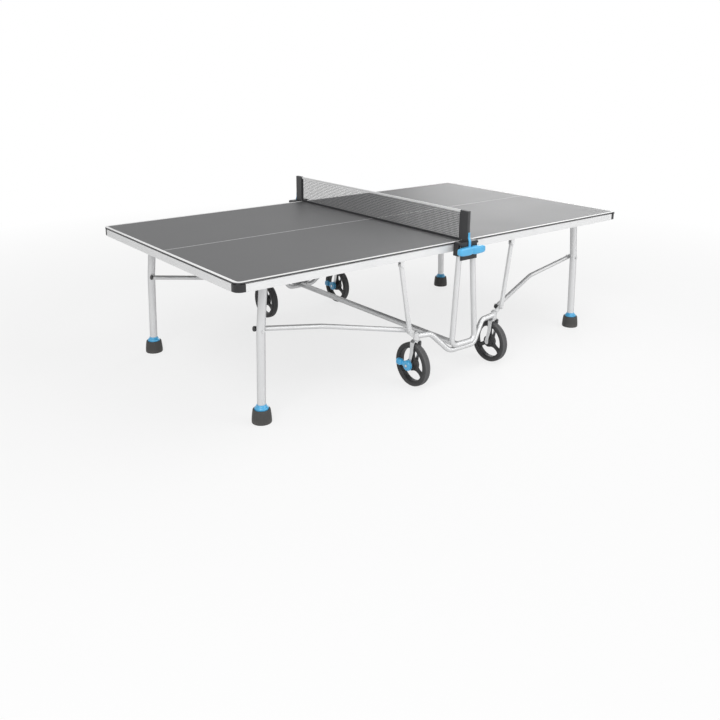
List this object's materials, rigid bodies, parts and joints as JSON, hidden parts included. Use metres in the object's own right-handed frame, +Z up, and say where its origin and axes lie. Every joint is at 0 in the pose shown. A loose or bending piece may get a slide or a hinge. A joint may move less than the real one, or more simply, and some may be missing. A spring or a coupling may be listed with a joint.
{
  "type": "folding table tennis table",
  "caption": "Folding ping pong table with net, wheeled centre frame, braked casters, folding legs and levelling feet.",
  "frame": {"origin": "on the floor below the middle of the net, centred on the playing surface", "axes": "+X along the table's length, +Y across it away from the near side, +Z up"},
  "size_m": [2.74, 1.7275, 0.926],
  "materials": {
    "top_laminate": "satin grey resin laminate with painted white lines",
    "apron_paint": "silver-grey powder coat",
    "frame_paint": "silver powder coat",
    "black_plastic": "moulded black plastic",
    "blue_plastic": "moulded blue plastic",
    "foot_rubber": "dark grey rubber",
    "post_plastic": "dark grey moulded plastic",
    "net_mesh": "dark knotted mesh",
    "net_tape": "white woven tape",
    "fork_metal": "silver painted steel",
    "wheel_plastic": "black moulded wheel centre",
    "tyre_rubber": "dark grey tyre"
  },
  "bodies": {
    "trolley": {"cross_tube": "frame_paint", "near_frame_tube": "frame_paint", "far_frame_tube": "frame_paint", "near_guide_tube": "frame_paint", "far_guide_tube": "frame_paint", "caster_brackets": "frame_paint", "post_housings": "black_plastic", "net_posts": "post_plastic", "net": "net_mesh", "net_tape": "net_tape"},
    "left_carriage": {"left_slide_blocks": "black_plastic"},
    "left_half": {"left_top_panel": "top_laminate", "left_near_side_rail": "apron_paint", "left_far_side_rail": "apron_paint", "left_end_rail": "apron_paint", "left_net_rail": "frame_paint", "left_leg_rail": "frame_paint", "left_strut_rail": "frame_paint", "left_corner_caps": "black_plastic"},
    "left_struts_body": {"left_struts": "frame_paint"},
    "left_legs": {"left_near_leg": "frame_paint", "left_far_leg": "frame_paint", "left_foot_collars": "blue_plastic"},
    "left_braces": {"left_near_brace": "frame_paint", "left_far_brace": "frame_paint"},
    "left_near_foot_body": {"left_near_foot": "foot_rubber"},
    "left_far_foot_body": {"left_far_foot": "foot_rubber"},
    "right_carriage": {"right_slide_blocks": "black_plastic"},
    "right_half": {"right_top_panel": "top_laminate", "right_near_side_rail": "apron_paint", "right_far_side_rail": "apron_paint", "right_end_rail": "apron_paint", "right_net_rail": "frame_paint", "right_leg_rail": "frame_paint", "right_strut_rail": "frame_paint", "right_corner_caps": "black_plastic"},
    "right_struts_body": {"right_struts": "frame_paint"},
    "right_legs": {"right_near_leg": "frame_paint", "right_far_leg": "frame_paint", "right_foot_collars": "blue_plastic"},
    "right_braces": {"right_near_brace": "frame_paint", "right_far_brace": "frame_paint"},
    "right_near_foot_body": {"right_near_foot": "foot_rubber"},
    "right_far_foot_body": {"right_far_foot": "foot_rubber"},
    "near_left_fork_body": {"near_left_fork": "fork_metal"},
    "near_left_wheel_body": {"near_left_wheel": "wheel_plastic", "near_left_tyre": "tyre_rubber"},
    "near_left_pedal_body": {"near_left_brake_pedal": "blue_plastic"},
    "near_right_fork_body": {"near_right_fork": "fork_metal"},
    "near_right_wheel_body": {"near_right_wheel": "wheel_plastic", "near_right_tyre": "tyre_rubber"},
    "far_left_fork_body": {"far_left_fork": "fork_metal"},
    "far_left_wheel_body": {"far_left_wheel": "wheel_plastic", "far_left_tyre": "tyre_rubber"},
    "far_right_fork_body": {"far_right_fork": "fork_metal"},
    "far_right_wheel_body": {"far_right_wheel": "wheel_plastic", "far_right_tyre": "tyre_rubber"},
    "far_right_pedal_body": {"far_right_brake_pedal": "blue_plastic"},
    "near_handle_body": {"near_lock_handle": "blue_plastic"},
    "far_handle_body": {"far_lock_handle": "blue_plastic"}
  },
  "joints": [
    {"name": "left_carriage_slide", "type": "slide", "parent": "trolley", "child": "left_carriage", "axis": [-0.0732, 0, -0.9973], "range_m": [0, 0.4783]},
    {"name": "left_fold", "type": "hinge", "parent": "left_carriage", "child": "left_half", "pos_m": [-0.0472, 0, 0.727], "axis": [0, 1, 0], "range_deg": [0, 90]},
    {"name": "left_strut_swing", "type": "hinge", "parent": "left_half", "child": "left_struts_body", "pos_m": [-0.412, 0, 0.686], "axis": [0, 1, 0], "range_deg": [-42.9, 0]},
    {"name": "left_leg_fold", "type": "hinge", "parent": "left_half", "child": "left_legs", "pos_m": [-1.144, 0, 0.69], "axis": [0, 1, 0], "range_deg": [-73.2, 0]},
    {"name": "left_brace_swing", "type": "hinge", "parent": "left_legs", "child": "left_braces", "pos_m": [-1.163, 0, 0.461], "axis": [0, 1, 0], "range_deg": [0, 73.5]},
    {"name": "left_near_foot_level", "type": "slide", "parent": "left_legs", "child": "left_near_foot_body", "axis": [0, 0, -1], "range_m": [0, 0.02]},
    {"name": "left_far_foot_level", "type": "slide", "parent": "left_legs", "child": "left_far_foot_body", "axis": [0, 0, -1], "range_m": [0, 0.02]},
    {"name": "right_carriage_slide", "type": "slide", "parent": "trolley", "child": "right_carriage", "axis": [0.0732, 0, -0.9973], "range_m": [0, 0.4783]},
    {"name": "right_fold", "type": "hinge", "parent": "right_carriage", "child": "right_half", "pos_m": [0.0472, 0, 0.727], "axis": [0, -1, 0], "range_deg": [0, 90]},
    {"name": "right_strut_swing", "type": "hinge", "parent": "right_half", "child": "right_struts_body", "pos_m": [0.412, 0, 0.686], "axis": [0, -1, 0], "range_deg": [-42.9, 0]},
    {"name": "right_leg_fold", "type": "hinge", "parent": "right_half", "child": "right_legs", "pos_m": [1.144, 0, 0.69], "axis": [0, -1, 0], "range_deg": [-73.2, 0]},
    {"name": "right_brace_swing", "type": "hinge", "parent": "right_legs", "child": "right_braces", "pos_m": [1.163, 0, 0.461], "axis": [0, -1, 0], "range_deg": [0, 73.5]},
    {"name": "right_near_foot_level", "type": "slide", "parent": "right_legs", "child": "right_near_foot_body", "axis": [0, 0, -1], "range_m": [0, 0.02]},
    {"name": "right_far_foot_level", "type": "slide", "parent": "right_legs", "child": "right_far_foot_body", "axis": [0, 0, -1], "range_m": [0, 0.02]},
    {"name": "near_left_swivel", "type": "hinge", "parent": "trolley", "child": "near_left_fork_body", "pos_m": [-0.296, -0.738, 0.28], "axis": [0, 0, 1], "continuous": true},
    {"name": "near_left_roll", "type": "hinge", "parent": "near_left_fork_body", "child": "near_left_wheel_body", "pos_m": [-0.296, -0.716, 0.1195], "axis": [1, 0, 0], "continuous": true},
    {"name": "near_left_brake", "type": "hinge", "parent": "near_left_fork_body", "child": "near_left_pedal_body", "pos_m": [-0.296, -0.716, 0.1195], "axis": [-1, 0, 0], "range_deg": [0, 15]},
    {"name": "near_right_swivel", "type": "hinge", "parent": "trolley", "child": "near_right_fork_body", "pos_m": [0.296, -0.738, 0.28], "axis": [0, 0, 1], "continuous": true},
    {"name": "near_right_roll", "type": "hinge", "parent": "near_right_fork_body", "child": "near_right_wheel_body", "pos_m": [0.296, -0.716, 0.1195], "axis": [1, 0, 0], "continuous": true},
    {"name": "far_left_swivel", "type": "hinge", "parent": "trolley", "child": "far_left_fork_body", "pos_m": [-0.296, 0.738, 0.28], "axis": [0, 0, 1], "continuous": true},
    {"name": "far_left_roll", "type": "hinge", "parent": "far_left_fork_body", "child": "far_left_wheel_body", "pos_m": [-0.296, 0.76, 0.1195], "axis": [1, 0, 0], "continuous": true},
    {"name": "far_right_swivel", "type": "hinge", "parent": "trolley", "child": "far_right_fork_body", "pos_m": [0.296, 0.738, 0.28], "axis": [0, 0, 1], "continuous": true},
    {"name": "far_right_roll", "type": "hinge", "parent": "far_right_fork_body", "child": "far_right_wheel_body", "pos_m": [0.296, 0.76, 0.1195], "axis": [1, 0, 0], "continuous": true},
    {"name": "far_right_brake", "type": "hinge", "parent": "far_right_fork_body", "child": "far_right_pedal_body", "pos_m": [0.296, 0.76, 0.1195], "axis": [-1, 0, 0], "range_deg": [0, 15]},
    {"name": "near_lock_lift", "type": "slide", "parent": "trolley", "child": "near_handle_body", "axis": [0, 0, 1], "range_m": [0, 0.012], "stiffness_N_per_m": 600, "springref_m": -0.008},
    {"name": "far_lock_lift", "type": "slide", "parent": "trolley", "child": "far_handle_body", "axis": [0, 0, 1], "range_m": [0, 0.012], "stiffness_N_per_m": 600, "springref_m": -0.008}
  ],
  "couplings": [
    {"joint": "left_carriage_slide", "follows": "left_fold", "m_per_rad": 0.30444},
    {"joint": "left_strut_swing", "follows": "left_fold", "ratio": -0.47548},
    {"joint": "left_leg_fold", "follows": "left_fold", "ratio": -0.81215},
    {"joint": "left_brace_swing", "follows": "left_fold", "ratio": 0.81528},
    {"joint": "right_carriage_slide", "follows": "right_fold", "m_per_rad": 0.30444},
    {"joint": "right_strut_swing", "follows": "right_fold", "ratio": -0.47548},
    {"joint": "right_leg_fold", "follows": "right_fold", "ratio": -0.81215},
    {"joint": "right_brace_swing", "follows": "right_fold", "ratio": 0.81528}
  ]
}
